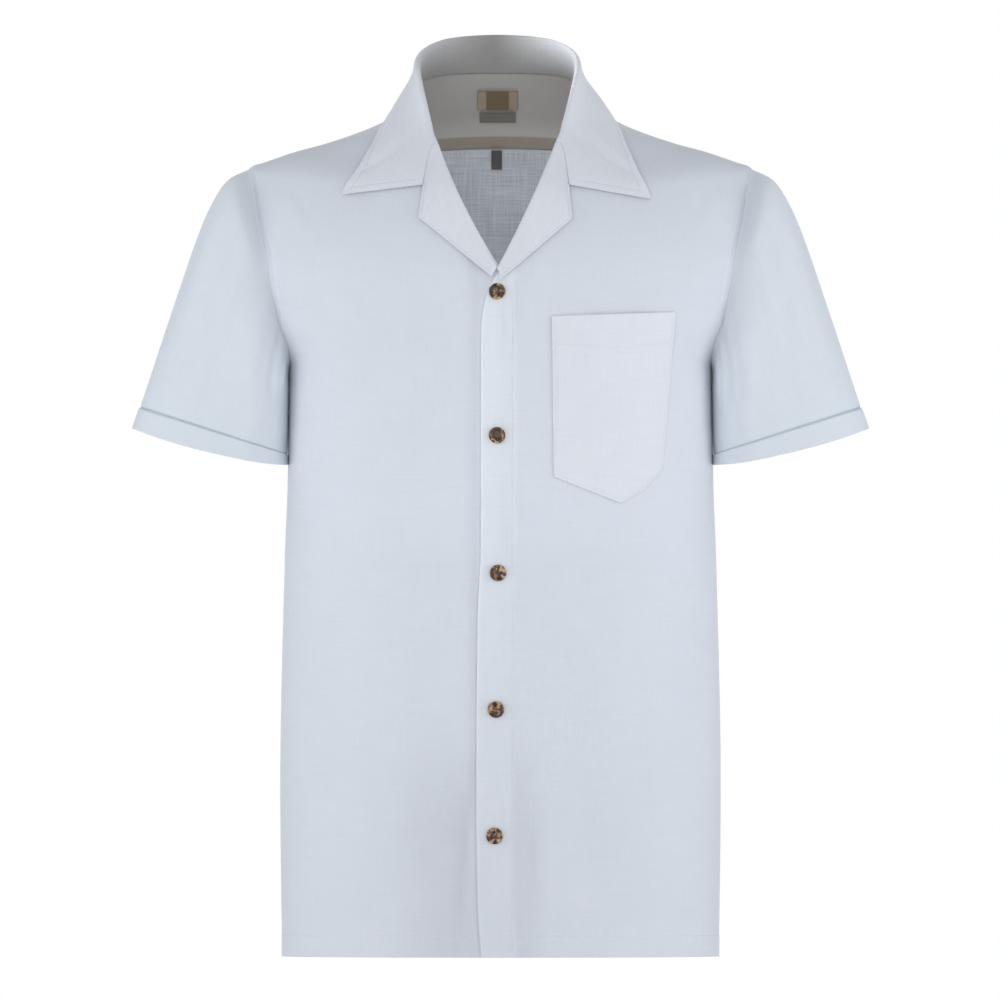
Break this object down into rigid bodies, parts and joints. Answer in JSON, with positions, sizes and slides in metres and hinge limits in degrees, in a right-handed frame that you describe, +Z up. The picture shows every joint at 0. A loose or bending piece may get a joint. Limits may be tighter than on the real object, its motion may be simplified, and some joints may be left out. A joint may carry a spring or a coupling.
{
  "type": "short-sleeved shirt",
  "caption": "Pale linen short-sleeved shirt with a notched turned-down collar, buttoned front, patch chest pocket and back yoke, filled out as if worn.",
  "frame": {"origin": "midway between the two points where the shoulder lines meet the neck, where the shirt hangs on the wearer's shoulders", "axes": "+Z up the body, +Y towards the wearer's back, +X towards the wearer's left"},
  "size_m": [0.6496, 0.2528, 0.8131],
  "materials": {
    "body_linen": "plain weave linen, matt",
    "sleeve_linen": "plain weave linen, matt",
    "collar_linen": "plain weave linen, matt",
    "pocket_linen": "plain weave linen, matt",
    "button_horn": "mottled horn effect, polished",
    "label_tan": "woven tape, blank",
    "label_grey": "woven tape, blank",
    "label_dark": "woven tape, blank"
  },
  "bodies": {
    "root": {"front_left": "body_linen", "front_right": "body_linen", "back": "body_linen", "yoke": "body_linen", "sleeve_left": "sleeve_linen", "sleeve_right": "sleeve_linen", "collar": "collar_linen", "lapel_left": "collar_linen", "lapel_right": "collar_linen", "pocket": "pocket_linen", "button_1": "button_horn", "button_2": "button_horn", "button_3": "button_horn", "button_4": "button_horn", "button_5": "button_horn", "label_main": "label_tan", "label_fibre": "label_grey", "label_size": "label_dark"}
  },
  "joints": []
}
